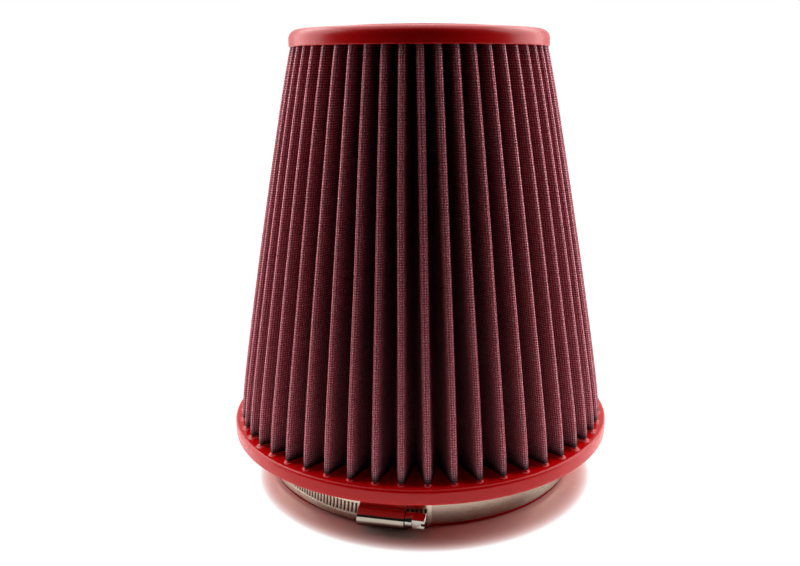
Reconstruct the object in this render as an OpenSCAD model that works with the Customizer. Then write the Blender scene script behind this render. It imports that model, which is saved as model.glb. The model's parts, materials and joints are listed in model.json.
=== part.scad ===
// Cone air filter: a pleated, mesh-backed cotton cone cast between a polyurethane cap and an inlet
// flange, with a worm-drive clamp round the inlet neck.
// Millimetres, +Z up. The origin is the centre of the inlet mouth, which is what the filter stands on.

/* [Base flange] */
// Width of the flange from the bore to its outer edge
flange_w = 24; // [21:0.1:32]
// Thickness of the flange
flange_t = 7.6; // [7:0.1:12]
// Radius of the flange's outer edges
flange_edge_r = 1.5; // [0.5:0.1:2.5]
// Width of the flange outside the pleat feet
flange_rim = 3; // [1.8:0.1:6]

/* [Inlet neck] */
// Bore of the inlet, which slides over the intake tube
bore_d = 152; // [140:0.5:156]
// Wall of the inlet neck
neck_wall = 5.5; // [4:0.1:7]
// Length of the neck below the flange
neck_len = 21.3; // [18:0.5:40]
// Lead-in chamfer at the mouth of the bore
mouth_chamfer = 1; // [0.3:0.1:2]
// Radius where the bore opens into the filter
throat_r = 1; // [0.3:0.1:1.1]

/* [End cap] */
// Outside diameter of the cap
cap_d = 128; // [116:0.5:140]
// Height of the cap's shoulder above its underside
cap_t = 8; // [7.5:0.1:16]
// Radius of the cap's shoulder
cap_shoulder_r = 4.5; // [2:0.1:6]
// Radius of the cap's lower edge
cap_lip_r = 0.5; // [0.2:0.1:1]
// Cap outside the pleat tips
cap_rim = 0.9; // [0.6:0.1:3]
// Diameter of the raised centre
pad_d = 84; // [40:1:100]
// Height of the raised centre
pad_t = 1.3; // [0.5:0.1:3]
// Radius of the raised centre's edge
pad_edge_r = 1; // [0.3:0.1:1.5]

/* [Pleated media] */
// Number of pleats
pleats = 51; // [36:1:54]
// Height of the media in the open, between flange and cap
media_h = 188.4; // [120:1:260]
// Bend radius at the middle of the folded pack
fold_r = 0.95; // [0.9:0.05:1.2]
// Thickness of the cotton gauze
gauze_t = 0.7; // [0.5:0.05:0.9]
// Thickness of each wire mesh
mesh_t = 0.35; // [0.2:0.05:0.4]
// Clearance between the folded sheets
sheet_gap = 0.05; // [0.03:0.01:0.1]
// Polyurethane between the pleats and the bore
bore_margin = 1.3; // [0.8:0.1:4]
// Depth of the pleat ends in the flange and in the cap
potting_depth = 5; // [3:0.1:5.5]
// Clearance between the pleats and the polyurethane round them
potting_gap = 0.06; // [0.05:0.01:0.15]
// Turn of the pleats from flange to cap, in degrees
pleat_turn = -1.6; // [-3:0.1:3]
// Turn of the whole pack about the axis, in degrees
pack_turn = 1.9; // [-3.5:0.1:3.5]

/* [Clamp] */
// Turn of the screw housing from the front, in degrees
clamp_turn = -11.7; // [-180:0.1:180]
// Width of the band
band_w = 12; // [8:0.5:14]
// Thickness of the band
band_t = 0.7; // [0.5:0.05:1]
// Height of the band above the inlet mouth
band_z = 2; // [0.8:0.1:6]
// Clearance between the band and the neck
band_gap = 0.05; // [0.02:0.01:0.2]
// Distance between the pressed slots for the worm
slot_pitch = 2; // [1.6:0.05:3]
// Width of a slot
slot_w = 1.05; // [0.6:0.05:1.3]
// Length of a slot
slot_len = 5.6; // [3:0.1:6.5]
// Depth of a slot
slot_depth = 0.4; // [0.2:0.05:0.45]
// Lean of the slots, which is the lead angle of the worm
slot_lean = 5.5; // [0:0.5:10]
// Length of the slotted stretch of the band
slotted_len = 74; // [50:1:100]
// Length of the free end of the band beyond the housing
free_end = 11; // [4:0.5:20]
// Length of the screw housing
housing_len = 22; // [18:0.5:26]
// Sheet thickness of the screw housing
housing_sheet_t = 0.8; // [0.6:0.05:1]
// Radius of the flare between the screw's tunnel and the wider box round the band
housing_flare_r = 2; // [0.5:0.1:2.2]
// Clearance between the layers in the housing
lap_gap = 0.1; // [0.05:0.01:0.15]
// Diameter of the worm
worm_d = 7; // [5:0.1:8]
// Clearance between the worm and what it turns in
worm_gap = 0.25; // [0.15:0.05:0.4]
// Diameter of the screw's journals
journal_d = 5; // [3:0.1:5.5]
// Radial clearance of the journals
journal_gap = 0.05; // [0.02:0.01:0.1]
// Diameter of the collar under the head
collar_d = 7.4; // [6:0.1:8]
// Length of the collar
collar_len = 3.6; // [1:0.1:5]
// Width of the hexagon head across its flats
head_af = 7; // [6:0.1:8]
// Length of the hexagon head
head_len = 6; // [3:0.1:7]
// Length of the chamfer on the head's corners
head_chamfer = 0.5; // [0.2:0.1:0.8]
// Width of the screwdriver slot
drive_slot_w = 1.1; // [0.6:0.1:1.6]
// Depth of the screwdriver slot
drive_slot_depth = 1.8; // [1:0.1:2.5]

/* [Hidden] */
eps = 0.01;

// Flange and neck
bore_r = bore_d / 2;
flange_r = bore_r + flange_w;
neck_r = bore_r + neck_wall;
flange_top = neck_len + flange_t;

// Cap
cap_z = flange_top + media_h;
cap_r = cap_d / 2;

// Folded pack, from its middle surface outwards and inwards
pitch = 360 / pleats;
tip_bends = 3;
root_bends = 1;
mesh_in = gauze_t / 2 + sheet_gap;
pack_half_t = mesh_in + mesh_t;
pocket_half_t = pack_half_t + potting_gap;
fold_out_r = fold_r + pack_half_t;
tip_r_base = flange_r - flange_rim - fold_out_r;
root_r_base = bore_r + bore_margin + fold_out_r;
tip_r_top = cap_r - cap_rim - fold_out_r;
pleat_reach = tip_r_base - root_r_base;
pack_z0 = flange_top - potting_depth;
pack_z1 = cap_z + potting_depth;

// Clamp, in its own frame with the housing at -Y
band_r = neck_r + band_gap;
band_mid_z = band_z + band_w / 2;
tail_lift = band_t + housing_sheet_t + 3 * lap_gap;
floor_r = band_r + band_t + lap_gap;
tail_r = band_r + tail_lift;
passage_top_r = tail_r + band_t + lap_gap;
housing_top_r = passage_top_r + housing_sheet_t;
housing_half = asin(housing_len / 2 / housing_top_r);
fixed_end_inset = 1;
fixed_end = -housing_half + fixed_end_inset;
tail_level_arc = 3;
tail_rise_arc = 28;
tail_rise_to = 360 - housing_half - tail_level_arc;
tail_rise_from = tail_rise_to - tail_rise_arc;
tail_end = 360 + housing_half + free_end / band_r * 180 / PI;
slot_step = slot_pitch / band_r * 180 / PI;
slot_count = floor(slotted_len / slot_pitch);
passage_w = band_w + 2 * lap_gap;
worm_r = worm_d / 2;
screw_r = passage_top_r + worm_r;
tunnel_r = worm_r + worm_gap;
worm_len = housing_len - 2 * housing_sheet_t - 2 * lap_gap;
journal_r = journal_d / 2;
head_corner_r = head_af / sqrt(3);
head_chamfer_angle = 30;

function polar(r, a) = [r * cos(a), r * sin(a)];
function lerp(a, b, t) = a + (b - a) * t;
function ease(t) = (1 - cos(180 * max(0, min(1, t)))) / 2;

// Half turn of the pack at a fold tip, where the tip's centre is at radius r
function root_point(r) = polar(r - pleat_reach, pitch / 2);
function tip_turn(r, v) = atan2(v[1], v[0] - r) - 90 + asin(2 * fold_r / norm([v[0] - r, v[1]]));

// One pleat of a sheet at distance d from the middle of the pack, from its tip to the next root.
// Flanks are tangents common to both folds, so sheets at any two distances stay parallel.
function pleat(r, d) =
    let (
        v = root_point(r),
        tip_a = tip_turn(r, v),
        root_a = tip_a - pitch / 2,
        tip_step = 2 * tip_a / (tip_bends + 1),
        root_step = 2 * root_a / (root_bends + 1),
        tip_q = (fold_r + d) / cos(tip_step / 2),
        root_q = (fold_r - d) / cos(root_step / 2)
    )
    concat(
        [for (j = [0:tip_bends]) [r, 0] + polar(tip_q, (j + 0.5) * tip_step - tip_a)],
        [for (j = [0:root_bends]) v + polar(root_q, pitch / 2 + 180 + root_a - (j + 0.5) * root_step)]
    );

function turned(p, a) = [p[0] * cos(a) - p[1] * sin(a), p[0] * sin(a) + p[1] * cos(a)];

// Closed outline of a sheet round the whole cone, with a tip at the front
function fold_ring(r, d, turn) =
    let (one = pleat(r, d))
    [for (k = [0:pleats - 1]) each [for (p = one) turned(p, k * pitch + turn - 90)]];

// The pleats are straight from flange to cap, so any height between is a point on the same lines
cone_slope = (tip_r_top - tip_r_base) / media_h;
ring_low = function(d) fold_ring(tip_r_base - cone_slope * potting_depth, d, pack_turn);
ring_high = function(d) fold_ring(tip_r_top + cone_slope * potting_depth, d, pack_turn + pleat_turn);

function at_height(low, high, z) =
    let (t = (z - pack_z0) / (pack_z1 - pack_z0))
    [for (i = [0:len(low) - 1]) [each lerp(low[i], high[i], t), z]];

// Closed sheet between two distances from the middle of the pack and between two heights
module folded_sheet(d_in, d_out, z0, z1) {
    out_low = ring_low(d_out);
    out_high = ring_high(d_out);
    in_low = ring_low(d_in);
    in_high = ring_high(d_in);
    n = len(out_low);
    points = concat(
        at_height(out_low, out_high, z0),
        at_height(out_low, out_high, z1),
        at_height(in_low, in_high, z0),
        at_height(in_low, in_high, z1)
    );
    faces = [for (i = [0:n - 1]) let (j = (i + 1) % n) each [
        [i, n + j, j],
        [i, n + i, n + j],
        [2 * n + i, 2 * n + j, 3 * n + j],
        [2 * n + i, 3 * n + j, 3 * n + i],
        [i, j, 2 * n + j],
        [i, 2 * n + j, 2 * n + i],
        [n + i, 3 * n + j, n + j],
        [n + i, 3 * n + i, 3 * n + j]
    ]];
    polyhedron(points, faces, convexity = 10);
}

// Flange and neck

module flange_profile() {
    edge_x = flange_r - flange_edge_r;
    difference() {
        union() {
            translate([bore_r, 0]) square([neck_wall, neck_len + flange_edge_r]);
            translate([bore_r, neck_len]) square([edge_x - bore_r, flange_t]);
            translate([bore_r, neck_len + flange_edge_r])
                square([flange_w, flange_t - 2 * flange_edge_r]);
            for (z = [neck_len + flange_edge_r, flange_top - flange_edge_r])
                translate([edge_x, z]) circle(flange_edge_r, $fn = 48);
        }
        translate([bore_r, 0])
            polygon([[-1, -1], [mouth_chamfer + 1, -1], [-1, mouth_chamfer + 1]]);
        difference() {
            translate([bore_r - 1, flange_top - throat_r]) square([1 + throat_r, throat_r + 1]);
            translate([bore_r + throat_r, flange_top - throat_r]) circle(throat_r, $fn = 48);
        }
    }
}

module base_ring() {
    color("firebrick")
    difference() {
        rotate_extrude($fn = 180) flange_profile();
        folded_sheet(-pocket_half_t, pocket_half_t, pack_z0, flange_top + 1);
    }
}

// Cap

module cap_profile() {
    shoulder_x = cap_r - cap_shoulder_r;
    pad_x = pad_d / 2 - pad_edge_r;
    square([shoulder_x, cap_t]);
    square([cap_r - cap_lip_r, cap_lip_r + eps]);
    translate([0, cap_lip_r]) square([cap_r, cap_t - cap_shoulder_r - cap_lip_r]);
    translate([cap_r - cap_lip_r, cap_lip_r]) circle(cap_lip_r, $fn = 32);
    translate([shoulder_x, cap_t - cap_shoulder_r]) circle(cap_shoulder_r, $fn = 64);
    square([pad_x, cap_t + pad_t]);
    square([pad_d / 2, cap_t + pad_t - pad_edge_r]);
    translate([pad_x, cap_t + pad_t - pad_edge_r]) circle(pad_edge_r, $fn = 48);
}

module end_cap() {
    color("darkred")
    difference() {
        translate([0, 0, cap_z]) rotate_extrude($fn = 180) intersection() {
            cap_profile();
            square([cap_r, cap_t + pad_t]);
        }
        folded_sheet(-pocket_half_t, pocket_half_t, cap_z - 1, pack_z1);
    }
}

// Media

module outer_mesh() {
    color("palevioletred") folded_sheet(mesh_in, pack_half_t, pack_z0, pack_z1);
}

module cotton_gauze() {
    color("mistyrose") folded_sheet(-gauze_t / 2, gauze_t / 2, pack_z0, pack_z1);
}

module inner_mesh() {
    color("silver") folded_sheet(-pack_half_t, -mesh_in, pack_z0, pack_z1);
}

// Clamp

// Radius of the band's inner face along its run, which starts under the housing, goes right round
// the neck, and rises on to the housing's floor to pass under the worm
function band_path(a) = band_r + tail_lift * ease((a - tail_rise_from) / (tail_rise_to - tail_rise_from));

band_step = 2.5;
band_steps = ceil((tail_end - fixed_end) / band_step);
band_angles = [for (i = [0:band_steps]) lerp(fixed_end, tail_end, i / band_steps)];

module at_clamp() {
    rotate([0, 0, clamp_turn]) children();
}

module band_strip() {
    n = len(band_angles);
    inner = [for (a = band_angles) polar(band_path(a), a - 90)];
    outer = [for (i = [n - 1:-1:0]) polar(band_path(band_angles[i]) + band_t, band_angles[i] - 90)];
    translate([0, 0, band_z]) linear_extrude(band_w) polygon(concat(inner, outer));
}

// Slots for the worm, pressed into the outer face from the free end back round the neck
module band_slots() {
    for (i = [0:slot_count - 1]) {
        a = tail_end - (i + 1.5) * slot_step;
        r = band_path(a) + band_t;
        rotate([0, 0, a - 90]) translate([r, 0, band_mid_z]) rotate([-slot_lean, 0, 0])
            cube([2 * slot_depth, slot_w, slot_len], center = true);
    }
}

module clamp_band() {
    color("lightslategray") at_clamp() difference() {
        band_strip();
        band_slots();
    }
}

// Ring segment over the housing's length, between two radii
module housing_arc(r0, r1, w, half) {
    rotate([0, 0, -90 - half]) rotate_extrude(angle = 2 * half, $fn = 180)
        translate([r0, band_mid_z - w / 2]) square([r1 - r0, w]);
}

// Section across the screw, with x towards the neck and y up, drawn out along the screw
module along_screw(x0, len) {
    translate([x0, -screw_r, band_mid_z]) rotate([90, 0, 90]) linear_extrude(len) children();
}

// Profile turned about the screw's axis, with x as radius and y along the screw
module turned_on_screw(x0) {
    translate([x0, -screw_r, band_mid_z]) rotate([0, 90, 0]) rotate_extrude($fn = 64) children();
}

// Pressed section of the housing: a round tunnel that flares out into the box round the band
module housing_section(tunnel_out_r, box_w) {
    box_x = screw_r - housing_top_r;
    flare_r = min(housing_flare_r, box_w / 2 - tunnel_out_r);
    circle(tunnel_out_r, $fn = 64);
    translate([0, -tunnel_out_r]) square([box_x, 2 * tunnel_out_r]);
    translate([box_x, -box_w / 2]) square([screw_r - tail_r - box_x, box_w]);
    if (flare_r > 0) for (side = [0, 1]) mirror([0, side]) difference() {
        translate([box_x - flare_r, 0]) square([flare_r, tunnel_out_r + flare_r]);
        translate([box_x - flare_r, tunnel_out_r + flare_r]) circle(flare_r, $fn = 48);
    }
}

module clamp_housing() {
    tunnel_out_r = tunnel_r + housing_sheet_t;
    box_w = passage_w + 2 * housing_sheet_t;
    inner_len = housing_len - 2 * housing_sheet_t;
    color("gainsboro") at_clamp() difference() {
        union() {
            housing_arc(floor_r, housing_top_r, box_w, housing_half);
            along_screw(-housing_len / 2, housing_len) housing_section(tunnel_out_r, box_w);
        }
        housing_arc(floor_r + housing_sheet_t, passage_top_r, passage_w, housing_half + 2);
        along_screw(-inner_len / 2, inner_len) {
            circle(tunnel_r, $fn = 64);
            translate([0, -tunnel_r]) square([screw_r - tail_r, 2 * tunnel_r]);
        }
        along_screw(-housing_len / 2 - 1, housing_len + 2)
            circle(journal_r + journal_gap, $fn = 48);
    }
}

// Hexagon, with a flat facing outwards and its corners chamfered at the outer end
module hex_head(x0) {
    chamfer_w = head_chamfer / tan(head_chamfer_angle);
    intersection() {
        along_screw(x0, head_len) rotate(30) circle(head_corner_r, $fn = 6);
        turned_on_screw(x0) polygon([
            [0, 0],
            [head_corner_r, 0],
            [head_corner_r, head_len - head_chamfer],
            [head_corner_r - chamfer_w, head_len],
            [0, head_len]
        ]);
    }
}

module clamp_screw() {
    collar_x = housing_len / 2 + lap_gap;
    head_x = collar_x + collar_len;
    slot_x = head_x + head_len - drive_slot_depth;
    color("silver") at_clamp() difference() {
        union() {
            turned_on_screw(0) {
                translate([0, -worm_len / 2]) square([worm_r, worm_len]);
                translate([0, -housing_len / 2]) square([journal_r, housing_len / 2 + head_x + eps]);
                translate([0, collar_x]) square([collar_d / 2, collar_len]);
            }
            hex_head(head_x);
        }
        translate([slot_x, -screw_r - head_af, band_mid_z - drive_slot_w / 2])
            cube([drive_slot_depth + 1, 2 * head_af, drive_slot_w]);
    }
}

base_ring();
outer_mesh();
cotton_gauze();
inner_mesh();
end_cap();
clamp_band();
clamp_housing();
clamp_screw();
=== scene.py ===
"""Looks of the cone air filter: a pleated, mesh-backed cotton cone cast between a closed polyurethane
cap and an inlet flange, with a worm-drive clamp round the inlet neck."""

import json
import math
import random

import bmesh
import bpy
from mathutils import Matrix, Vector

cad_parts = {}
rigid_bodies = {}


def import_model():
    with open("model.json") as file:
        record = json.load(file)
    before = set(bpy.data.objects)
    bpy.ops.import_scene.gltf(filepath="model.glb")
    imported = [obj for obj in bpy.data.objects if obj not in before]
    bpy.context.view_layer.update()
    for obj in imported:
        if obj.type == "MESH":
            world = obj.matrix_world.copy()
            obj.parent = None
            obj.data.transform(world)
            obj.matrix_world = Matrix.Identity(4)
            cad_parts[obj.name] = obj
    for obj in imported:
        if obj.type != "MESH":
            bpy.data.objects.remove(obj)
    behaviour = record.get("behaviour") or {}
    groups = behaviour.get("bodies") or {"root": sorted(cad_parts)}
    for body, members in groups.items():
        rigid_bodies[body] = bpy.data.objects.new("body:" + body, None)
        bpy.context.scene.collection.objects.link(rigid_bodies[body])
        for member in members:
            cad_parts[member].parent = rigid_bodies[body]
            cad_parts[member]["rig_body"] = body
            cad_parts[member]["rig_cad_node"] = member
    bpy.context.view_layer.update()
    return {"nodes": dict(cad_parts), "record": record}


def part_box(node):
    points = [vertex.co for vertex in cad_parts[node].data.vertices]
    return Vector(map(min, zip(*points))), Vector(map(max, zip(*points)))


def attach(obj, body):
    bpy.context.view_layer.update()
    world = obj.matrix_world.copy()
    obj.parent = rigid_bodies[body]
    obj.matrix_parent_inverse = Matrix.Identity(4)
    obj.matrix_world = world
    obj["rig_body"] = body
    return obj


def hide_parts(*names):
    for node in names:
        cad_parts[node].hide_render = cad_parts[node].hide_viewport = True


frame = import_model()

MM = 0.001

# Sizes read from the frame
ring_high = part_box("base_ring")[1]
cap_low, cap_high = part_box("end_cap")
pack_low, pack_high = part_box("outer_mesh")
band_low, band_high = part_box("clamp_band")
FLANGE_R = ring_high.x
FLANGE_TOP = ring_high.z
CAP_R = cap_high.x
CAP_Z = cap_low.z
CAP_TOP = cap_high.z
BORE_R = frame["record"]["mounts"][0]["dims"]["r_mm"] * MM
MEDIA_H = CAP_Z - FLANGE_TOP

# Flange, neck and cap
FLANGE_T = 7.6 * MM
FLANGE_EDGE_R = 1.5 * MM
FLANGE_RIM = 3 * MM
NECK_WALL = 5.5 * MM
NECK_R = BORE_R + NECK_WALL
MOUTH_CHAMFER = 1 * MM
MOUTH_EDGE_R = 0.4 * MM
THROAT_R = 1 * MM
CAP_RIM = 0.9 * MM
CAP_SHOULDER_R = 4.5 * MM
CAP_LIP_R = 0.5 * MM
PAD_R = 42 * MM
PAD_T = 1.3 * MM
PAD_EDGE_R = 1 * MM
TURNED_SIDES = 288

# Folded pack
PLEATS = 51
FOLD_R = 0.95 * MM
GAUZE_T = 0.7 * MM
MESH_T = 0.35 * MM
SHEET_GAP = 0.05 * MM
BORE_MARGIN = 1.3 * MM
PLEAT_TURN = math.radians(-1.6)
PACK_TURN = math.radians(1.9)
PITCH = 2 * math.pi / PLEATS
MESH_IN = GAUZE_T / 2 + SHEET_GAP
PACK_HALF_T = MESH_IN + MESH_T
FOLD_OUT_R = FOLD_R + PACK_HALF_T
TIP_R_BASE = FLANGE_R - FLANGE_RIM - FOLD_OUT_R
TIP_R_TOP = CAP_R - CAP_RIM - FOLD_OUT_R
PLEAT_REACH = TIP_R_BASE - (BORE_R + BORE_MARGIN + FOLD_OUT_R)
CONE_SLOPE = (TIP_R_TOP - TIP_R_BASE) / MEDIA_H
TIP_STEPS = 10
ROOT_STEPS = 4
FLANK_STEPS = 3
SHEET_ROWS = 28
ROW_CROWDING = 1.35
PACK_BULGE = 1.75 * MM
FOOT_DRAWN_IN = 0.7 * MM
SWAY_SEED = 11

# Polyurethane that creeps up the pleat feet
BEAD_W = 2.1 * MM
BEAD_H = 1.3 * MM
BEAD_FADE = 1 * MM
BEAD_STEPS = 8
BEAD_SUNK = 0.4 * MM
BEAD_GAP_SHARE = 0.98
OPEN_FACE_H = 1.4 * MM

# Weave of the wire mesh
WIRE_PITCH = 1.1 * MM
WIRE_STRAY = 0.9 * MM

# Clamp, with angles round the neck counted from the middle of the screw housing
screw_joint = frame["record"]["behaviour"]["joints"][0]
SCREW_PLACE = Vector(screw_joint["pos_m"])
SCREW_AXIS = Vector(screw_joint["axis"])
CLAMP_TURN = math.atan2(SCREW_AXIS.y, SCREW_AXIS.x)
BAND_GAP = 0.05 * MM
BAND_R = NECK_R + BAND_GAP
BAND_T = 0.7 * MM
BAND_EDGE_R = 0.25 * MM
LAP_GAP = 0.1 * MM
HOUSING_SHEET_T = 0.8 * MM
HOUSING_LEN = 22 * MM
HOUSING_EDGE_R = 0.22 * MM
HOUSING_FLATS = [(math.radians(52), math.radians(21)), (math.radians(8), math.radians(10))]
WORM_D = 7 * MM
WORM_GAP = 0.25 * MM
WORM_PITCH = 2 * MM
WORM_DEPTH = 0.9 * MM
WORM_ROWS = 120
SHANK_SIDES = 48
SHANK_CHAMFER = 0.3 * MM
JOURNAL_D = 5 * MM
COLLAR_D = 7.4 * MM
COLLAR_LEN = 3.6 * MM
HEAD_AF = 7 * MM
HEAD_LEN = 6 * MM
HEAD_CHAMFER = 0.5 * MM
HEAD_EDGE_R = 0.12 * MM
HEAD_CHAMFER_ANGLE = math.radians(30)
DRIVE_SLOT_W = 1.1 * MM
DRIVE_SLOT_DEPTH = 1.8 * MM
CHAMFER_SIDES = 96
SLOT_PITCH = 2 * MM
SLOT_W = 1.05 * MM
SLOT_LEN = 5.6 * MM
SLOT_DEPTH = 0.34 * MM
SLOT_LEAN = math.radians(5.5)
SLOTTED_LEN = 74 * MM
FREE_END = 11 * MM
FREE_END_CORNER = 2 * MM
TAIL_LIFT = BAND_T + HOUSING_SHEET_T + 3 * LAP_GAP
HOUSING_TOP_R = BAND_R + TAIL_LIFT + BAND_T + LAP_GAP + HOUSING_SHEET_T
HOUSING_HALF = math.asin(HOUSING_LEN / 2 / HOUSING_TOP_R)
FIXED_END_INSET = math.radians(1)
FIXED_END = FIXED_END_INSET - HOUSING_HALF
TAIL_LEVEL_ARC = math.radians(3)
TAIL_RISE_TO = 2 * math.pi - HOUSING_HALF - TAIL_LEVEL_ARC
TAIL_RISE_ARC = math.radians(28)
TAIL_END = 2 * math.pi + HOUSING_HALF + FREE_END / BAND_R
PLAIN_STEP = math.radians(2)
STEPS_PER_SLOT = 10

# Table top, in metres: how far it reaches in front, and the round patch of painted shadow round the
# object, whose fade is a power of the way through its edge. The object's faces mirror a darker painted shadow
# patch of their own.
TABLE_FRONT = 0.2
SHADE_MIDDLE = (0.002, -0.0135, 0)
SHADE_R = 0.0715
SHADE_EDGE = 0.017
SHADE_RAMP = 4
UNDER_SHADE_R = 0.081
UNDER_SHADE_EDGE = 0.011

# Camera, fitted to the outlines of the pleats, the flange and the cap
PHOTO_W = 800
CAMERA_PLACE = Vector((0, -0.42117, 0.20768))
CAMERA_PITCH = math.radians(14.8)
CAMERA_FOCAL_PX = 816.7
CAMERA_ROLL = -0.0036
CAMERA_SHIFT_PX = 20
SENSOR_W = 36


# Modelling helpers

def polar(r, angle):
    return Vector((r * math.cos(angle), r * math.sin(angle)))


def turned(point, angle):
    return Matrix.Rotation(angle, 2) @ point


def deselect_all():
    if bpy.context.object and bpy.context.object.mode != "OBJECT":
        bpy.ops.object.mode_set(mode="OBJECT")
    bpy.ops.object.select_all(action="DESELECT")


def name_piece(name):
    """Names the primitive that was just added, and its mesh."""
    piece = bpy.context.object
    piece.name = name
    piece.data.name = name
    return piece


def edit(piece):
    deselect_all()
    bpy.context.view_layer.objects.active = piece
    piece.select_set(True)
    bpy.ops.object.mode_set(mode="EDIT")


def pick(piece, mode, test):
    """Selects, in edit mode, the vertices, edges or faces whose every vertex passes the test."""
    bpy.ops.mesh.select_mode(type=mode)
    bpy.ops.mesh.select_all(action="DESELECT")
    mesh = bmesh.from_edit_mesh(piece.data)
    chosen = {"VERT": mesh.verts, "EDGE": mesh.edges, "FACE": mesh.faces}[mode]
    for item in chosen:
        corners = [item] if mode == "VERT" else item.verts
        item.select_set(all(test(v.co) for v in corners))
    mesh.select_flush_mode()
    bmesh.update_edit_mesh(piece.data)


def on_ring(r, z):
    """Test for the vertices of a turned piece on the ring of that radius and height."""
    near = 0.02 * MM
    return lambda co: abs(math.hypot(co.x, co.y) - r) < near and abs(co.z - z) < near


def finish_mesh(piece, sharp_degrees):
    """Leaves edit mode, puts the object's place in its mesh, and shades it smooth between sharp edges."""
    deselect_all()
    piece.select_set(True)
    bpy.context.view_layer.objects.active = piece
    bpy.ops.object.transform_apply(location=True, rotation=True, scale=True)
    bpy.ops.object.shade_smooth_by_angle(angle=math.radians(sharp_degrees))
    return piece


def add_modifier(piece, kind, **settings):
    """Adds a modifier with its settings and applies it."""
    deselect_all()
    piece.select_set(True)
    bpy.context.view_layer.objects.active = piece
    modifier = piece.modifiers.new(kind.title(), kind)
    for key, value in settings.items():
        setattr(modifier, key, value)
    bpy.ops.object.modifier_apply(modifier=modifier.name)


def join_pieces(pieces, name):
    deselect_all()
    for piece in pieces:
        piece.select_set(True)
    bpy.context.view_layer.objects.active = pieces[0]
    bpy.ops.object.join()
    return name_piece(name)


def turned_piece(name, outline, sides, closed):
    """Turns an outline of (radius, height) points about the Z axis, loop by loop from its first."""
    deselect_all()
    r, z = outline[0]
    bpy.ops.mesh.primitive_circle_add(vertices=sides, radius=r, location=(0, 0, z))
    piece = name_piece(name)
    bpy.ops.object.transform_apply(location=True)
    edit(piece)
    bpy.ops.mesh.select_all(action="SELECT")
    for next_r, next_z in outline[1:] + (outline[:1] if closed else []):
        bpy.ops.mesh.extrude_region_move(TRANSFORM_OT_translate={"value": (0, 0, next_z - z)})
        bpy.ops.transform.resize(value=(next_r / r, next_r / r, 1))
        r, z = next_r, next_z
    bpy.ops.mesh.select_all(action="SELECT")
    bpy.ops.mesh.remove_doubles(threshold=0.001 * MM)
    bpy.ops.mesh.normals_make_consistent(inside=False)
    return piece


def bevel_ring(piece, r, z, radius, segments):
    """Rounds the ring of a turned piece's edges at that radius and height."""
    pick(piece, "EDGE", on_ring(r, z))
    bpy.ops.mesh.bevel(offset=radius, segments=segments, affect="EDGES")


def shaped_grid(name, rows, lengths, heights, depths=None):
    """Grid primitive moved to rows of points, with a UV map in metres along and up the sheet, and with
    an attribute for how deep each point lies, from 0 to 1, where that is given.

    The last column meets the first, and so does the last row where its points are the first row's."""
    across, up = len(rows[0]) - 1, len(rows) - 1
    deselect_all()
    bpy.ops.mesh.primitive_grid_add(x_subdivisions=across, y_subdivisions=up, calc_uvs=True)
    piece = name_piece(name)
    for vertex in piece.data.vertices:
        row, column = divmod(vertex.index, across + 1)
        vertex.co = rows[row][column]
    uv = piece.data.uv_layers.active.data
    for loop in piece.data.loops:
        row, column = divmod(loop.vertex_index, across + 1)
        uv[loop.index].uv = (lengths[column], heights[row])
    if depths:
        attribute = piece.data.attributes.new("depth", "FLOAT", "POINT")
        attribute.data.foreach_set("value", [depth for row in depths for depth in row])
    edit(piece)
    bpy.ops.mesh.select_all(action="SELECT")
    bpy.ops.mesh.remove_doubles(threshold=0.001 * MM)
    bpy.ops.mesh.normals_make_consistent(inside=False)
    return piece


# Folded pack

def arc(centre, radius, start, end, steps):
    return [centre + polar(radius, start + (end - start) * i / steps) for i in range(steps + 1)]


def between(first, last, steps):
    return [first.lerp(last, i / steps) for i in range(1, steps)]


def pleat_line(tip_r, d):
    """One pleat of a sheet at distance d from the middle of the pack, from its tip to the next one.

    The flanks are tangents common to both folds, so sheets at any two distances stay parallel."""
    tip = Vector((tip_r, 0))
    root = polar(tip_r - PLEAT_REACH, PITCH / 2)
    reach = root - tip
    tip_a = math.atan2(reach.y, reach.x) - math.pi / 2 + math.asin(2 * FOLD_R / reach.length)
    root_a = tip_a - PITCH / 2
    tip_arc = arc(tip, FOLD_R + d, -tip_a, tip_a, TIP_STEPS)
    root_back = PITCH / 2 + math.pi
    root_arc = arc(root, FOLD_R - d, root_back + root_a, root_back - root_a, ROOT_STEPS)
    next_tip = turned(tip_arc[0], PITCH)
    return (tip_arc + between(tip_arc[-1], root_arc[0], FLANK_STEPS)
            + root_arc + between(root_arc[-1], next_tip, FLANK_STEPS))


def fold_ring(tip_r, d, turn):
    """Closed outline of a sheet round the cone, with a tip at the front and its first point repeated."""
    line = pleat_line(tip_r, d)
    points = [turned(p, k * PITCH + turn - math.pi / 2) for k in range(PLEATS) for p in line]
    return points + points[:1]


def pack_rings(d):
    """Outlines of a sheet at the pack's lowest and highest ends."""
    low = fold_ring(TIP_R_BASE - CONE_SLOPE * (FLANGE_TOP - pack_low.z), d, PACK_TURN)
    high = fold_ring(TIP_R_TOP + CONE_SLOPE * (pack_high.z - CAP_Z), d, PACK_TURN + PLEAT_TURN)
    return low, high


def ring_at(rings, z):
    """Outline at a height, on the straight lines between the pack's two ends."""
    t = (z - pack_low.z) / (pack_high.z - pack_low.z)
    return [low.lerp(high, t) for low, high in zip(*rings)]


class Sway:
    """Small sideways lean of each pleat's tip, as hand-set pleats have, with none at the pack's ends."""

    SIZE = 0.28 * MM

    def __init__(self, seed):
        draw = random.Random(seed)
        self.waves = [[(draw.uniform(-1, 1), n, draw.uniform(0, 2 * math.pi)) for n in (1, 2, 3.3)]
                      for _ in range(PLEATS)]

    def at(self, pleat, t):
        waves = self.waves[pleat % PLEATS]
        bend = sum(size / n * math.sin(math.pi * n * t + phase) for size, n, phase in waves)
        return self.SIZE * math.sin(math.pi * t) * bend


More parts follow.
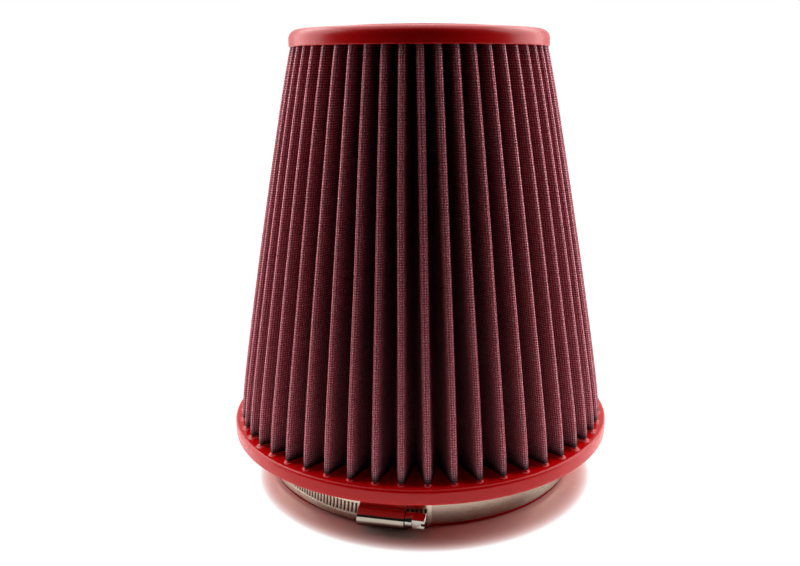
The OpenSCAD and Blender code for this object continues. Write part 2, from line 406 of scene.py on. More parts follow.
def bulge(z):
    """Distance that the tips stand out from straight lines between the flange and the cap. They are
    drawn in a little at their feet."""
    t = min(max((z - FLANGE_TOP) / MEDIA_H, 0), 1)
    return PACK_BULGE * (4 * t * (1 - t)) ** 0.5 - FOOT_DRAWN_IN * (1 - t) ** 20


def tip_shares(points):
    """1 at the tips of an outline, 0 at its roots, and even between them."""
    radii = [p.length for p in points]
    root_r, tip_r = min(radii), max(radii)
    return [(r - root_r) / (tip_r - root_r) for r in radii]


def hand_set(points, z, sway):
    """Points of an outline with each tip leant sideways and bulged, and each root left where it is."""
    t = (z - pack_low.z) / (pack_high.z - pack_low.z)
    per_pleat = (len(points) - 1) / PLEATS
    placed = []
    for i, (point, share) in enumerate(zip(points, tip_shares(points))):
        pleat = round((i - TIP_STEPS / 2) / per_pleat)
        r = point.length
        lean = sway.at(pleat, t) * share ** 1.5
        placed.append(turned(point, lean / r) * (1 + bulge(z) * share / r))
    return placed


def folded_sheet(name, d_in, d_out, sway, rows):
    """One sheet of the pack, folded round the cone and as thick as the real one."""
    rings = pack_rings(d_out)
    heights = [pack_low.z + (pack_high.z - pack_low.z) * (i / rows) ** ROW_CROWDING
               for i in range(rows + 1)]
    grid = [[Vector((*p, z)) for p in hand_set(ring_at(rings, z), z, sway)] for z in heights]
    middle = ring_at(rings, (pack_low.z + pack_high.z) / 2)
    lengths = [0]
    for first, last in zip(middle, middle[1:]):
        lengths.append(lengths[-1] + (last - first).length)
    depths = [[1 - share for share in tip_shares(middle)]] * len(grid)
    piece = shaped_grid(name, grid, lengths, heights, depths)
    add_modifier(piece, "SOLIDIFY", thickness=d_out - d_in, offset=-1, use_even_offset=True)
    return finish_mesh(piece, 70)


# Polyurethane mouldings

def gap_half(point, normal, side):
    """Distance from a point of a pleat, along its normal, to the middle of the gap on that side."""
    across = polar(1, side * PITCH / 2 + math.pi / 2)
    closing = normal.dot(across)
    reach = -point.dot(across) / closing if abs(closing) > 1e-6 else math.inf
    return reach if reach > 0 else math.inf


def bead_height(x):
    """Height of the meniscus at a distance from the sheet, which dies out at the bead's full width."""
    end = math.exp(-BEAD_W / BEAD_FADE)
    return BEAD_H * (math.exp(-x / BEAD_FADE) - end) / (1 - end)


def bead_section(width):
    """Section of the bead as (distance from the sheet, height), a hollow curve closed below."""
    curve = [(width * i / BEAD_STEPS, bead_height(width * i / BEAD_STEPS)) for i in range(BEAD_STEPS + 1)]
    loop = [(-MESH_T / 2, BEAD_H)] + curve + [(width, -BEAD_SUNK), (-MESH_T / 2, -BEAD_SUNK)]
    return loop + loop[:1]


def foot_bead():
    """Polyurethane drawn up the feet of the pleats while it set, in one bead round every fold."""
    z = FLANGE_TOP
    tip_r = TIP_R_BASE
    outer, inner = pleat_line(tip_r, PACK_HALF_T), pleat_line(tip_r, MESH_IN)
    root_r = tip_r - PLEAT_REACH
    t = (z - pack_low.z) / (pack_high.z - pack_low.z)
    turn = PACK_TURN + PLEAT_TURN * t - math.pi / 2
    columns = []
    for k in range(PLEATS):
        for i, (point, back) in enumerate(zip(outer, inner)):
            normal = (point - back).normalized()
            side = 1 if i > TIP_STEPS / 2 else -1
            width = min(BEAD_W, gap_half(point, normal, side) * BEAD_GAP_SHARE)
            place = k * PITCH + turn
            share = min(max((point.length - root_r) / PLEAT_REACH, 0), 1)
            foot = point * (1 + bulge(z) * share / point.length)
            columns.append([Vector((*turned(foot + normal * x, place), z + h))
                            for x, h in bead_section(width)])
    columns.append(columns[0])
    rows = [list(row) for row in zip(*columns)]
    piece = shaped_grid("foot_bead", rows, range(len(columns)), range(len(rows)))
    return finish_mesh(piece, 60)


def ring_moulding():
    """Flange and inlet neck, turned as one outline with rounded edges."""
    neck_top = FLANGE_TOP - FLANGE_T
    outline = [
        (BORE_R + MOUTH_CHAMFER, 0), (NECK_R, 0), (NECK_R, neck_top), (FLANGE_R, neck_top),
        (FLANGE_R, FLANGE_TOP), (BORE_R, FLANGE_TOP), (BORE_R, MOUTH_CHAMFER),
    ]
    piece = turned_piece("ring_moulding", outline, TURNED_SIDES, closed=True)
    bevel_ring(piece, FLANGE_R, FLANGE_TOP, FLANGE_EDGE_R, 8)
    bevel_ring(piece, FLANGE_R, neck_top, FLANGE_EDGE_R, 8)
    bevel_ring(piece, BORE_R, FLANGE_TOP, THROAT_R, 4)
    bevel_ring(piece, NECK_R, 0, MOUTH_EDGE_R, 2)
    finish_mesh(piece, 40)
    return join_pieces([piece, foot_bead()], "ring_moulding")


def cap_moulding():
    """Closed cap with a rounded shoulder and a slightly raised plain centre."""
    shoulder_top = CAP_TOP - PAD_T
    deselect_all()
    bpy.ops.mesh.primitive_cylinder_add(
        vertices=TURNED_SIDES, radius=CAP_R, depth=shoulder_top - CAP_Z,
        location=(0, 0, (shoulder_top + CAP_Z) / 2))
    piece = name_piece("cap_moulding")
    bpy.ops.object.transform_apply(location=True)
    edit(piece)
    pick(piece, "FACE", lambda co: co.z > shoulder_top - 0.01 * MM)
    bpy.ops.mesh.inset(thickness=CAP_R - PAD_R)
    bpy.ops.mesh.extrude_region_move(TRANSFORM_OT_translate={"value": (0, 0, PAD_T)})
    bevel_ring(piece, PAD_R, CAP_TOP, PAD_EDGE_R, 5)
    bevel_ring(piece, CAP_R, shoulder_top, CAP_SHOULDER_R, 14)
    bevel_ring(piece, CAP_R, CAP_Z, CAP_LIP_R, 3)
    return finish_mesh(piece, 40)


# Clamp

def smooth(value, low, high):
    """0 below the low value, 1 above the high one, and an even curve between them."""
    t = min(max((value - low) / (high - low), 0), 1)
    return t * t * (3 - 2 * t)


def band_radius(angle):
    """Radius of the band's inner face, which rises on to the housing's floor near its slotted end."""
    t = min(max(1 - (TAIL_RISE_TO - angle) / TAIL_RISE_ARC, 0), 1)
    return BAND_R + TAIL_LIFT * (1 - math.cos(math.pi * t)) / 2


def groove(along, across):
    """Depth of the pressed thread, at a distance from the band's free end and from its middle line."""
    number = round(along / SLOT_PITCH - 1.5)
    if not 0 <= number < int(SLOTTED_LEN / SLOT_PITCH):
        return 0
    off = abs(along - (number + 1.5) * SLOT_PITCH + across * math.tan(SLOT_LEAN))
    wall = 1 - smooth(off, 0.28 * SLOT_W, 0.6 * SLOT_W)
    end = 1 - smooth(abs(across), SLOT_LEN / 2 - 0.5 * MM, SLOT_LEN / 2 + 0.1 * MM)
    return SLOT_DEPTH * wall * end


def band_section(along):
    """Section of the band as (height from its inner face, place across), with rounded edges."""
    corner = FREE_END_CORNER
    short = corner * (1 - math.sqrt(1 - (1 - min(along / corner, 1)) ** 2))
    half = (band_high.z - band_low.z) / 2 - short
    flat = half - BAND_EDGE_R
    turns = [i * math.pi / 6 for i in range(4)]
    edge = [(BAND_EDGE_R * (1 - math.cos(t)), flat + BAND_EDGE_R * math.sin(t)) for t in turns]
    edge += [(BAND_T - BAND_EDGE_R * (1 - math.cos(t)), flat + BAND_EDGE_R * math.sin(t))
             for t in reversed(turns)]
    rows = (0.75, 0.57, 0.52, 0.48, 0.43, 0.38, 0.33, 0.2, 0)
    face = [flat * f for f in rows] + [-flat * f for f in reversed(rows[:-1])]
    outer = [(max(BAND_T - groove(along, v), BAND_T / 2 + 0.01 * MM), v) for v in face]
    loop = edge + outer + [(h, -v) for h, v in reversed(edge)]
    return loop + loop[:1]


def band_strip():
    """Rolled strip of the clamp, once round the neck, with its thread pressed in and its ends closed."""
    slot_arc = SLOT_PITCH / BAND_R
    slots_from = TAIL_END - (SLOTTED_LEN + SLOT_PITCH) / BAND_R
    plain_steps = math.ceil((slots_from - FIXED_END) / PLAIN_STEP)
    slot_steps = math.ceil((TAIL_END - slots_from) / slot_arc * STEPS_PER_SLOT)
    angles = [FIXED_END + (slots_from - FIXED_END) * i / plain_steps for i in range(plain_steps)]
    angles += [slots_from + (TAIL_END - slots_from) * i / slot_steps for i in range(slot_steps + 1)]
    middle_z = (band_low.z + band_high.z) / 2
    columns, depths = [], []
    for angle in angles:
        out = polar(1, angle + CLAMP_TURN - math.pi / 2)
        along = (TAIL_END - angle) * BAND_R
        section = band_section(along)
        columns.append([Vector((*(out * (band_radius(angle) + h)), middle_z + v)) for h, v in section])
        depths.append([groove(along, v) / SLOT_DEPTH if h > BAND_T / 2 else 0 for h, v in section])
    rows = [list(row) for row in zip(*columns)]
    piece = shaped_grid("band_strip", rows, [a * BAND_R for a in angles], [v for _, v in band_section(1)],
                        list(zip(*depths)))
    bpy.ops.mesh.select_mode(type="EDGE")
    bpy.ops.mesh.select_all(action="DESELECT")
    bpy.ops.mesh.select_non_manifold()
    bpy.ops.mesh.fill_holes(sides=0)
    return finish_mesh(piece, 40)


def put_on_screw(piece):
    """Turns a piece modelled along Z, with X towards the neck, to the screw's axis and place."""
    on_axis = Matrix(((0, 0, 1, 0), (1, 0, 0, 0), (0, 1, 0, 0), (0, 0, 0, 1)))
    piece.matrix_world = Matrix.Translation(SCREW_PLACE) @ Matrix.Rotation(CLAMP_TURN, 4, "Z") @ on_axis


def thread_radius(angle, z):
    """Radius of the worm's right-hand thread, which fades out at both ends of the worm."""
    off = abs((z / WORM_PITCH - angle / (2 * math.pi)) % 1 - 0.5) * 2
    half = HOUSING_LEN / 2 - HOUSING_SHEET_T - LAP_GAP
    fade = 1 - smooth(abs(z), half - 0.5 * MM, half)
    return WORM_D / 2 - WORM_DEPTH * (1 - smooth(off, 0.3, 0.7) * fade)


def screw_shank():
    """Journals, worm and collar, as rings of points along the screw."""
    end = HOUSING_LEN / 2
    half = end - HOUSING_SHEET_T - LAP_GAP
    journal, collar = JOURNAL_D / 2, COLLAR_D / 2
    chamfer = SHANK_CHAMFER
    collar_z = end + LAP_GAP
    turns = [2 * math.pi * i / SHANK_SIDES for i in range(SHANK_SIDES + 1)]
    plain = [(-end, 0), (-end, journal - chamfer), (-end + chamfer, journal), (-half, journal)]
    threaded = [(-half + 2 * half * i / WORM_ROWS, None) for i in range(WORM_ROWS + 1)]
    plain_end = [(half, journal), (collar_z, journal), (collar_z, collar - chamfer),
                 (collar_z + chamfer, collar), (collar_z + COLLAR_LEN - chamfer, collar),
                 (collar_z + COLLAR_LEN, collar - chamfer), (collar_z + COLLAR_LEN, 0)]
    profile = plain + threaded + plain_end
    rows = [[Vector((*polar(thread_radius(t, z) if r is None else r, t), z)) for t in turns]
            for z, r in profile]
    piece = shaped_grid("screw_shank", rows, turns, [z for z, _ in profile])
    return finish_mesh(piece, 35)


def hex_head():
    """Hexagon head with chamfered corners and a screwdriver slot across its end."""
    corner_r = HEAD_AF / math.sqrt(3)
    head_z = HOUSING_LEN / 2 + LAP_GAP + COLLAR_LEN
    slope = 1 / math.tan(HEAD_CHAMFER_ANGLE)
    deselect_all()
    bpy.ops.mesh.primitive_cone_add(
        vertices=CHAMFER_SIDES, radius1=corner_r + (HEAD_LEN - HEAD_CHAMFER) * slope,
        radius2=corner_r - HEAD_CHAMFER * slope,
        depth=HEAD_LEN, location=(0, 0, head_z + HEAD_LEN / 2))
    form = name_piece("chamfer_form")
    bpy.ops.mesh.primitive_cube_add(location=(0, 0, head_z + HEAD_LEN))
    cutter = name_piece("slot_form")
    cutter.scale = (HEAD_AF, DRIVE_SLOT_W / 2, DRIVE_SLOT_DEPTH)
    bpy.ops.mesh.primitive_cylinder_add(
        vertices=6, radius=corner_r, depth=HEAD_LEN, location=(0, 0, head_z + HEAD_LEN / 2))
    head = name_piece("hex_head")
    bpy.ops.object.transform_apply(location=True, rotation=True, scale=True)
    add_modifier(head, "BOOLEAN", object=form, operation="INTERSECT", solver="EXACT")
    add_modifier(head, "BOOLEAN", object=cutter, operation="DIFFERENCE", solver="EXACT")
    add_modifier(head, "BEVEL", width=HEAD_EDGE_R, segments=2,
                 limit_method="ANGLE", angle_limit=math.radians(22))
    deselect_all()
    form.select_set(True)
    cutter.select_set(True)
    bpy.ops.object.delete()
    return finish_mesh(head, 30)


def clamp_screw():
    screw = join_pieces([screw_shank(), hex_head()], "worm_screw")
    put_on_screw(screw)
    return finish_mesh(screw, 32)


def node_copy(node, name):
    """Copy of a CAD node with its loose triangles merged and its flat faces whole."""
    source = frame["nodes"][node]
    deselect_all()
    source.select_set(True)
    bpy.context.view_layer.objects.active = source
    bpy.ops.object.duplicate()
    piece = name_piece(name)
    bpy.ops.object.parent_clear(type="CLEAR_KEEP_TRANSFORM")
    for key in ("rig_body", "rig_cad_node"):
        del piece[key]
    edit(piece)
    bpy.ops.mesh.select_all(action="SELECT")
    bpy.ops.mesh.remove_doubles(threshold=0.002 * MM)
    bpy.ops.mesh.dissolve_limited(angle_limit=math.radians(1))
    bpy.ops.mesh.normals_make_consistent(inside=False)
    return piece


def housing_pressing():
    """Pressed steel housing of the screw, with the flats that its tools leave along the tunnel, and
    with every sheared edge broken."""
    piece = node_copy("clamp_housing", "housing_pressing")
    deselect_all()
    round_r = WORM_D / 2 + WORM_GAP + HOUSING_SHEET_T
    to_screw = Matrix.Rotation(-CLAMP_TURN, 4, "Z") @ Matrix.Translation(-SCREW_PLACE)
    from_screw = to_screw.inverted()
    for vertex in piece.data.vertices:
        place = to_screw @ vertex.co
        r = math.hypot(place.y, place.z)
        angle = math.atan2(place.z, -place.y)
        for middle, half in HOUSING_FLATS:
            if abs(r - round_r) < 0.03 * MM and abs(angle - middle) < half:
                scale = math.cos(half) / math.cos(angle - middle)
                vertex.co = from_screw @ Vector((place.x, place.y * scale, place.z * scale))
    add_modifier(piece, "BEVEL", width=HOUSING_EDGE_R, segments=3,
                 limit_method="ANGLE", angle_limit=math.radians(35))
    return finish_mesh(piece, 35)


# Materials

def linear(hex_colour):
    """sRGB hex to the linear RGBA that the shaders take."""
    channels = [int(hex_colour[i:i + 2], 16) / 255 for i in (0, 2, 4)]
    return [c / 12.92 if c <= 0.04045 else ((c + 0.055) / 1.055) ** 2.4 for c in channels] + [1]


def add_node(material, kind, inputs=None, **settings):
    """Adds a node with its settings. An input given as a socket is linked, and any other is set."""
    tree = material.node_tree
    node = tree.nodes.new(kind)
    for key, value in settings.items():
        setattr(node, key, value)
    for key, value in (inputs or {}).items():
        if isinstance(value, bpy.types.NodeSocket):
            tree.links.new(value, node.inputs[key])
        else:
            node.inputs[key].default_value = value
    return node


def new_material(name, **inputs):
    """Material with one Principled shader whose inputs are set by name, and that shader."""
    material = bpy.data.materials.new(name)
    material.use_nodes = True
    shader = material.node_tree.nodes["Principled BSDF"]
    for key, value in inputs.items():
        shader.inputs[key.replace("_", " ")].default_value = value
    return material, shader


def link(material, source, target):
    material.node_tree.links.new(source, target)


def moulded_polyurethane():
    """Cast polyurethane, pigmented right through: a deep saturated red with the satin finish of its
    mould, which breaks up a little where the skin is not quite flat. The flange's top, which set in the
    open, is wet-looking and puts a thin glint at the foot of each pleat."""
    material, shader = new_material("moulded_polyurethane", IOR=1.36)
    place = add_node(material, "ShaderNodeTexCoord").outputs["Object"]
    height = add_node(material, "ShaderNodeSeparateXYZ", {"Vector": place}).outputs["Z"]
    from_open = add_node(material, "ShaderNodeMath", {
        0: height, 1: FLANGE_TOP + OPEN_FACE_H / 2, 2: OPEN_FACE_H / 2 + 0.05 * MM}, operation="COMPARE")
    rough = add_node(material, "ShaderNodeMapRange", {
        "Value": from_open.outputs[0], "To Min": 0.27, "To Max": 0.07})
    link(material, rough.outputs[0], shader.inputs["Roughness"])
    skin = add_node(material, "ShaderNodeTexNoise", {
        "Vector": place, "Scale": 1 / (9 * MM), "Detail": 3.0})
    grain = add_node(material, "ShaderNodeTexNoise", {
        "Vector": place, "Scale": 1 / (0.8 * MM), "Detail": 2.0})
    colour = add_node(material, "ShaderNodeMix", {
        0: skin.outputs["Fac"], 6: linear("CC0307"), 7: linear("DC070B")}, data_type="RGBA")
    link(material, colour.outputs[2], shader.inputs["Base Color"])
    relief = add_node(material, "ShaderNodeMath", {
        0: grain.outputs["Fac"], 1: 0.12, 2: skin.outputs["Fac"]}, operation="MULTIPLY_ADD")
    bump = add_node(material, "ShaderNodeBump", {
        "Height": relief.outputs[0], "Strength": 0.12, "Distance": 0.25 * MM})
    link(material, bump.outputs["Normal"], shader.inputs["Normal"])
    return material


def wire_set(material, across, lengthwise, phase):
    """Height of one set of parallel wires, each going over and under the other set."""
    off = add_node(material, "ShaderNodeMath", {0: across, 1: 0.5}, operation="PINGPONG")
    ridge = add_node(material, "ShaderNodeMapRange", {
        "Value": off.outputs[0], "From Min": 0.1, "From Max": 0.34, "To Min": 1.0, "To Max": 0.0},
        interpolation_type="SMOOTHSTEP")
    number = add_node(material, "ShaderNodeMath", {0: across}, operation="ROUND")
    turn = add_node(material, "ShaderNodeMath", {0: lengthwise, 1: number.outputs[0]}, operation="ADD")
    angle = add_node(material, "ShaderNodeMath", {
        0: turn.outputs[0], 1: math.pi, 2: phase}, operation="MULTIPLY_ADD")
    wave = add_node(material, "ShaderNodeMath", {0: angle.outputs[0]}, operation="COSINE")
    level = add_node(material, "ShaderNodeMath", {
        0: wave.outputs[0], 1: 0.14, 2: 0.86}, operation="MULTIPLY_ADD")
    return add_node(material, "ShaderNodeMath", {
        0: ridge.outputs[0], 1: level.outputs[0]}, operation="MULTIPLY")


def coated_wire_mesh():
    """Plain-woven aluminium wire, epoxy coated and pressed into oiled red cotton: a square grid of
    pinkish wires over deep red openings, painted lighter where the wires cross and near white at
    scattered crossings, a painted highlight. The pleats are greyer near both of their ends, where they
    are short of oil, and nearly black in the last of their height above the flange, which the
    polyurethane has wetted. The folds are painted darker towards their roots, a painted shade."""
    material, shader = new_material("coated_wire_mesh", IOR=1.5)
    uv = add_node(material, "ShaderNodeTexCoord").outputs["UV"]
    split = add_node(material, "ShaderNodeSeparateXYZ", {"Vector": uv})
    drift = add_node(material, "ShaderNodeTexNoise", {"Vector": uv, "Scale": 1 / (1.7 * MM), "Detail": 2.0})
    strayed = add_node(material, "ShaderNodeVectorMath", {
        0: drift.outputs["Color"], 1: (WIRE_STRAY, WIRE_STRAY, 0), 2: uv}, operation="MULTIPLY_ADD")
    wires = add_node(material, "ShaderNodeSeparateXYZ", {"Vector": strayed.outputs["Vector"]})
    along = add_node(material, "ShaderNodeMath", {0: wires.outputs["X"], 1: WIRE_PITCH}, operation="DIVIDE")
    up = add_node(material, "ShaderNodeMath", {0: wires.outputs["Y"], 1: WIRE_PITCH}, operation="DIVIDE")
    warp = wire_set(material, along.outputs[0], up.outputs[0], 0.0)
    weft = wire_set(material, up.outputs[0], along.outputs[0], math.pi)
    height = add_node(material, "ShaderNodeMath", {
        0: warp.outputs[0], 1: weft.outputs[0]}, operation="MAXIMUM")
    knots = add_node(material, "ShaderNodeMath", {
        0: warp.outputs[0], 1: weft.outputs[0]}, operation="MULTIPLY")
    blotch = add_node(material, "ShaderNodeTexNoise", {"Vector": uv, "Scale": 1 / (6 * MM), "Detail": 3.0})
    oil = add_node(material, "ShaderNodeMapRange", {
        "Value": blotch.outputs["Fac"], "From Min": 0.3, "From Max": 0.7})
    cotton = add_node(material, "ShaderNodeMix", {
        0: oil.outputs[0], 6: linear("841024"), 7: linear("A81C34")}, data_type="RGBA")
    # Painted highlight: the crossings of the wires are painted lighter, and near white at scattered
    # crossings.
    sparkle_noise = add_node(material, "ShaderNodeTexNoise", {"Vector": uv, "Scale": 1 / (0.9 * MM), "Detail": 1.0})
    sparkle = add_node(material, "ShaderNodeMapRange", {
        "Value": sparkle_noise.outputs["Fac"], "From Min": 0.42, "From Max": 0.6, "To Min": 0.1, "To Max": 1.0})
    bright = add_node(material, "ShaderNodeMath", {
        0: knots.outputs[0], 1: sparkle.outputs[0]}, operation="MULTIPLY")
    coat = add_node(material, "ShaderNodeMix", {
        0: bright.outputs[0], 6: linear("DC6C7C"), 7: linear("FFDCE0")}, data_type="RGBA")
    fresh = add_node(material, "ShaderNodeMix", {
        0: height.outputs[0], 6: cotton.outputs[2], 7: coat.outputs[2]}, data_type="RGBA")
    low = add_node(material, "ShaderNodeMapRange", {
        "Value": split.outputs["Y"], "From Min": FLANGE_TOP + 2 * MM, "From Max": FLANGE_TOP + 11 * MM,
        "To Min": 0.8, "To Max": 0.0})
    high = add_node(material, "ShaderNodeMapRange", {
        "Value": split.outputs["Y"], "From Min": CAP_Z - 6 * MM, "From Max": CAP_Z - 1 * MM,
        "To Min": 0.0, "To Max": 0.4})
    dry = add_node(material, "ShaderNodeMath", {0: low.outputs[0], 1: high.outputs[0]}, operation="MAXIMUM")
    dry_colour = add_node(material, "ShaderNodeMix", {
        0: height.outputs[0], 6: linear("3C1C26"), 7: linear("906E7C")}, data_type="RGBA")
    worn = add_node(material, "ShaderNodeMix", {
        0: dry.outputs[0], 6: fresh.outputs[2], 7: dry_colour.outputs[2]}, data_type="RGBA")
    wet = add_node(material, "ShaderNodeMapRange", {
        "Value": split.outputs["Y"], "From Min": FLANGE_TOP + 1.8 * MM, "From Max": FLANGE_TOP + 4.6 * MM,
        "To Min": 0.95, "To Max": 0.0})
    colour = add_node(material, "ShaderNodeMix", {
        0: wet.outputs[0], 6: worn.outputs[2], 7: linear("120408")}, data_type="RGBA")
    # Painted shade: each point's colour is darkened by how deep in its fold it lies.
    depth = add_node(material, "ShaderNodeAttribute", attribute_name="depth")
    fold_shade = add_node(material, "ShaderNodeMapRange", {
        "Value": depth.outputs["Fac"], "From Min": 0.015, "From Max": 0.3, "To Min": 1.0, "To Max": 0.45})
    fold_shaded = add_node(material, "ShaderNodeVectorMath", {
        0: colour.outputs[2], "Scale": fold_shade.outputs[0]}, operation="SCALE")
    link(material, fold_shaded.outputs["Vector"], shader.inputs["Base Color"])
    rough = add_node(material, "ShaderNodeMapRange", {
        "Value": height.outputs[0], "To Min": 0.85, "To Max": 0.34})
    link(material, rough.outputs[0], shader.inputs["Roughness"])
    metal = add_node(material, "ShaderNodeMath", {0: height.outputs[0], 1: 0.3}, operation="MULTIPLY")
    link(material, metal.outputs[0], shader.inputs["Metallic"])
    bump = add_node(material, "ShaderNodeBump", {
        "Height": height.outputs[0], "Strength": 1.0, "Distance": 0.3 * MM})
    link(material, bump.outputs["Normal"], shader.inputs["Normal"])
    return material


def oiled_gauze():
    """Layered cotton gauze soaked in red oil: dark, matt and fibrous."""
    material, shader = new_material("oiled_gauze", Roughness=0.85, IOR=1.45)
    uv = add_node(material, "ShaderNodeTexCoord").outputs["UV"]
    fibres = add_node(material, "ShaderNodeTexNoise", {"Vector": uv, "Scale": 1 / (0.6 * MM), "Detail": 4.0})
    colour = add_node(material, "ShaderNodeMix", {
        0: fibres.outputs["Fac"], 6: linear("5A0814"), 7: linear("9A1830")}, data_type="RGBA")
    link(material, colour.outputs[2], shader.inputs["Base Color"])
    bump = add_node(material, "ShaderNodeBump", {
        "Height": fibres.outputs["Fac"], "Strength": 0.5, "Distance": 0.2 * MM})
    link(material, bump.outputs["Normal"], shader.inputs["Normal"])
    return material


def steel(name, colour, roughness, streak, follows_uv):
    """Steel with the fine marks that rolling or polishing leaves along it, which blur its reflections
    a little. A pressed thread is painted dark in its grooves, a painted shade."""
    material, shader = new_material(name, Metallic=1.0)
    place = add_node(material, "ShaderNodeTexCoord").outputs["UV" if follows_uv else "Object"]
    turn = 0 if follows_uv else -CLAMP_TURN
    across = 1 / (0.25 * MM)
    long_way = add_node(material, "ShaderNodeMapping", {
        "Vector": place, "Rotation": (0, 0, turn), "Scale": (1 / (9 * MM), across, across)})
    marks = add_node(material, "ShaderNodeTexNoise", {
        "Vector": long_way.outputs[0], "Scale": 1.0, "Detail": 2.0})
    tint = add_node(material, "ShaderNodeMix", {
        0: marks.outputs["Fac"], 6: linear(colour), 7: [c * 0.86 for c in linear(colour)[:3]] + [1]},
        data_type="RGBA")
    # Painted shade: the pressed grooves are painted dark by how deep they are.
    pressed = add_node(material, "ShaderNodeAttribute", attribute_name="depth")
    groove_shade = add_node(material, "ShaderNodeMix", {
        0: pressed.outputs["Fac"], 6: tint.outputs[2], 7: linear("4A3E36")}, data_type="RGBA")
    link(material, groove_shade.outputs[2], shader.inputs["Base Color"])
    rough = add_node(material, "ShaderNodeMapRange", {
        "Value": marks.outputs["Fac"], "To Min": roughness * 0.8, "To Max": roughness * 1.25})
    link(material, rough.outputs[0], shader.inputs["Roughness"])
    bump = add_node(material, "ShaderNodeBump", {
        "Height": marks.outputs["Fac"], "Strength": streak, "Distance": 0.02 * MM})
    link(material, bump.outputs["Normal"], shader.inputs["Normal"])
    return material


def set_material(piece, material):
    piece.data.materials.clear()
    piece.data.materials.append(material)


# Stage, light and camera

def add_floor():
    """Pale satin table top, whose front edge is just outside the picture. Round the object a shadow is
    painted on it, darker for all rays but the camera's, and paler and pinker outwards before it ends:
    a painted shadow with painted red bounce light, over the shadow that the lamps cast. Beyond that the
    camera sees the white of the background, and the object a lit table that also glows, lighting it
    like a lamp."""
    material, shader = new_material("white_table", Roughness=0.3, IOR=1.45)
    place = add_node(material, "ShaderNodeTexCoord").outputs["Object"]
    reach = add_node(material, "ShaderNodeVectorMath", {0: place, 1: SHADE_MIDDLE}, operation="DISTANCE")
    seen = add_node(material, "ShaderNodeLightPath").outputs["Is Camera Ray"]
    edge_from = add_node(material, "ShaderNodeMix", {0: seen, 2: UNDER_SHADE_R, 3: SHADE_R})
    edge_to = add_node(material, "ShaderNodeMix", {
        0: seen, 2: UNDER_SHADE_R + UNDER_SHADE_EDGE, 3: SHADE_R + SHADE_EDGE})
    spread = add_node(material, "ShaderNodeMapRange", {
        "Value": reach.outputs["Value"], "From Min": edge_from.outputs[0], "From Max": edge_to.outputs[0]})
    ramp = add_node(material, "ShaderNodeMix", {0: seen, 2: 1.0, 3: SHADE_RAMP})
    away = add_node(material, "ShaderNodeMath", {
        0: spread.outputs[0], 1: ramp.outputs[0]}, operation="POWER")
    faded = add_node(material, "ShaderNodeMath", {0: away.outputs[0], 1: seen}, operation="MULTIPLY")
    # Painted shadow: inside the patch the table is painted 886660 for other rays and ECCCC4 for the camera.
    shade = add_node(material, "ShaderNodeMix", {
        0: seen, 6: linear("886660"), 7: linear("ECCCC4")}, data_type="RGBA")
    table = add_node(material, "ShaderNodeMix", {
        0: away.outputs[0], 6: shade.outputs[2], 7: linear("F6F4F4")}, data_type="RGBA")
    colour = add_node(material, "ShaderNodeMix", {
        0: faded.outputs[0], 6: table.outputs[2], 7: (0, 0, 0, 1)}, data_type="RGBA")
    link(material, colour.outputs[2], shader.inputs["Base Color"])
    # Painted light: outside the patch the table glows, at 0.42 for other rays so that it lights the object
    # like a lamp, and at full strength for the camera.
    lit = add_node(material, "ShaderNodeMix", {0: seen, 2: 0.42, 3: 1.0})
    glow = add_node(material, "ShaderNodeMath", {0: away.outputs[0], 1: lit.outputs[0]}, operation="MULTIPLY")
    # Painted red bounce light: the glow is pink at the patch's edge and white further out.
    bounce_tint = add_node(material, "ShaderNodeMix", {
        0: away.outputs[0], 6: linear("F0B4AC"), 7: (1, 1, 1, 1)}, data_type="RGBA")
    link(material, bounce_tint.outputs[2], shader.inputs["Emission Color"])
    link(material, glow.outputs[0], shader.inputs["Emission Strength"])
    deselect_all()
    bpy.ops.mesh.primitive_plane_add(size=1, location=(0, 0, 0))
    floor = name_piece("table_top")
    floor.scale = (6, 3 + TABLE_FRONT, 1)
    floor.location.y = (3 - TABLE_FRONT) / 2
    bpy.ops.object.transform_apply(location=True, scale=True)
    set_material(floor, material)


def add_world():
    """White studio behind and beside the object, and dark behind the camera. The camera sees white."""
    world = bpy.data.worlds.new("studio")
    bpy.context.scene.world = world
    world.use_nodes = True
    shade = world.node_tree.nodes["Background"]
    direction = add_node(world, "ShaderNodeTexCoord").outputs["Generated"]
    split = add_node(world, "ShaderNodeSeparateXYZ", {"Vector": direction})
    back = add_node(world, "ShaderNodeMapRange", {
        "Value": split.outputs["Y"], "From Min": -0.14, "From Max": 0.1, "To Min": 0.015, "To Max": 0.75},
        interpolation_type="SMOOTHSTEP")
    seen = add_node(world, "ShaderNodeLightPath").outputs["Is Camera Ray"]
    level = add_node(world, "ShaderNodeMix", {0: seen, 2: back.outputs[0], 3: 1.0})
    link(world, level.outputs[0], shade.inputs["Strength"])
    shade.inputs["Color"].default_value = (1, 1, 1, 1)


def add_softbox(name, place, aim, width, height, power):
    deselect_all()
    bpy.ops.object.light_add(type="AREA", location=place)
    lamp = bpy.context.object
    lamp.name = name
    lamp.data.shape = "RECTANGLE"
    lamp.data.size = width
    lamp.data.size_y = height
    lamp.data.energy = power
    lamp.rotation_euler = (Vector(aim) - Vector(place)).to_track_quat("-Z", "Y").to_euler()


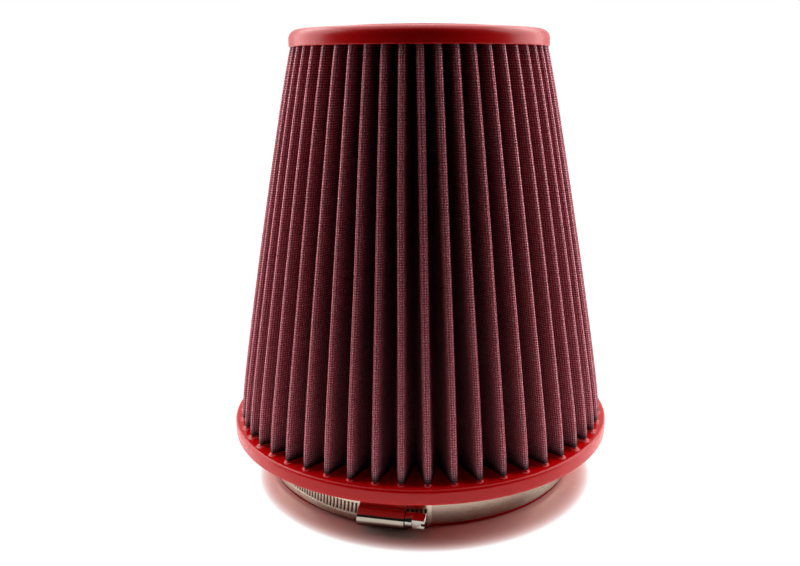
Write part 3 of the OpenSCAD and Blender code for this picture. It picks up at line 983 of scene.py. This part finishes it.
def add_camera():
    turn = Matrix.Rotation(math.pi / 2 - CAMERA_PITCH, 3, "X") @ Matrix.Rotation(CAMERA_ROLL, 3, "Z")
    bpy.ops.object.camera_add(location=CAMERA_PLACE, rotation=turn.to_euler())
    camera = bpy.context.object
    camera.data.sensor_width = SENSOR_W
    camera.data.lens = CAMERA_FOCAL_PX / PHOTO_W * SENSOR_W
    camera.data.shift_x = -CAMERA_SHIFT_PX / PHOTO_W
    bpy.context.scene.camera = camera


def show(piece, material, body, node):
    """Gives a piece its material, and lets it ride on a body in place of its CAD node."""
    set_material(piece, material)
    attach(piece, body)
    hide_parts(node)


bpy.context.scene.view_settings.view_transform = "Standard"
deselect_all()
add_camera()
add_floor()
add_world()
add_softbox("left_softbox", (-0.77, 0.3, 0.5), (0, 0.08, 0.15), 0.8, 1.0, 6.6)
add_softbox("right_softbox", (0.78, 0.27, 0.5), (0, 0.06, 0.15), 0.8, 1.0, 6.8)
add_softbox("top_back_softbox", (0, 0.55, 0.75), (0, 0, 0.1), 1.4, 0.5, 4)
add_softbox("overhead_softbox", (0, 0.08, 0.95), (0, 0, 0.1), 1.2, 0.6, 2.2)

# Pieces
pleat_sway = Sway(SWAY_SEED)
polyurethane = moulded_polyurethane()
wire = coated_wire_mesh()
# A warm pale strip with soft, streaked reflections
strip_steel = steel("rolled_stainless_strip", "FFF2DC", 0.28, 0.3, True)
# Nearly a mirror, a little darker and warmer, with the table and the flange in its faces
pressed_steel = steel("polished_pressed_steel", "BAB2A2", 0.1, 0.1, False)
# Bright plating, slightly duller than the housing
plated_steel = steel("zinc_plated_steel", "C6C2B8", 0.14, 0.1, False)

show(ring_moulding(), polyurethane, "filter", "base_ring")
show(cap_moulding(), polyurethane, "filter", "end_cap")
show(folded_sheet("pleated_outer_mesh", MESH_IN, PACK_HALF_T, pleat_sway, SHEET_ROWS),
     wire, "filter", "outer_mesh")
show(folded_sheet("pleated_gauze", -GAUZE_T / 2, GAUZE_T / 2, pleat_sway, SHEET_ROWS),
     oiled_gauze(), "filter", "cotton_gauze")
show(folded_sheet("pleated_inner_mesh", -PACK_HALF_T, -MESH_IN, pleat_sway, SHEET_ROWS),
     wire, "filter", "inner_mesh")
show(band_strip(), strip_steel, "filter", "clamp_band")
show(housing_pressing(), pressed_steel, "filter", "clamp_housing")
show(clamp_screw(), plated_steel, "screw", "clamp_screw")
